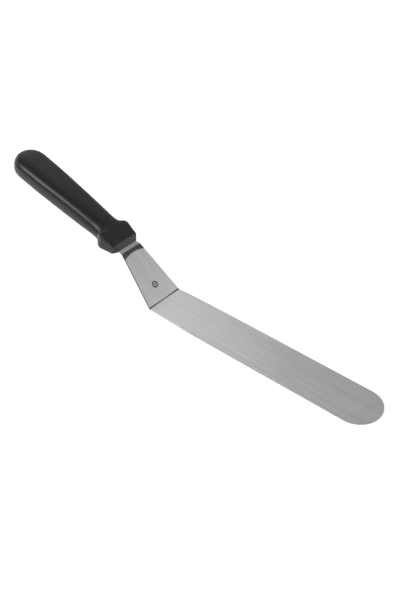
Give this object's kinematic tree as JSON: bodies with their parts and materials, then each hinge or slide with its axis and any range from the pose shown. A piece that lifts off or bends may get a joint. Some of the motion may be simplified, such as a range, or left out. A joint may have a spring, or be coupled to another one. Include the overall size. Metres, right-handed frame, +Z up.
{
  "type": "palette knife",
  "caption": "Offset palette knife: long flat steel blade with a round tip, a slanted neck and a raised moulded handle.",
  "frame": {"origin": "below the middle of the knife's whole length, on the plane that the flat blade rests on", "axes": "+X along the flat blade towards its tip, +Y across the blade, +Z up; the handle rises towards -X"},
  "size_m": [0.3744, 0.038, 0.0784],
  "materials": {
    "blade_steel": "fine brushed along the blade",
    "handle_plastic": "satin moulded, finely grained at the collar"
  },
  "bodies": {
    "root": {"blade": "blade_steel", "handle": "handle_plastic"}
  },
  "joints": []
}
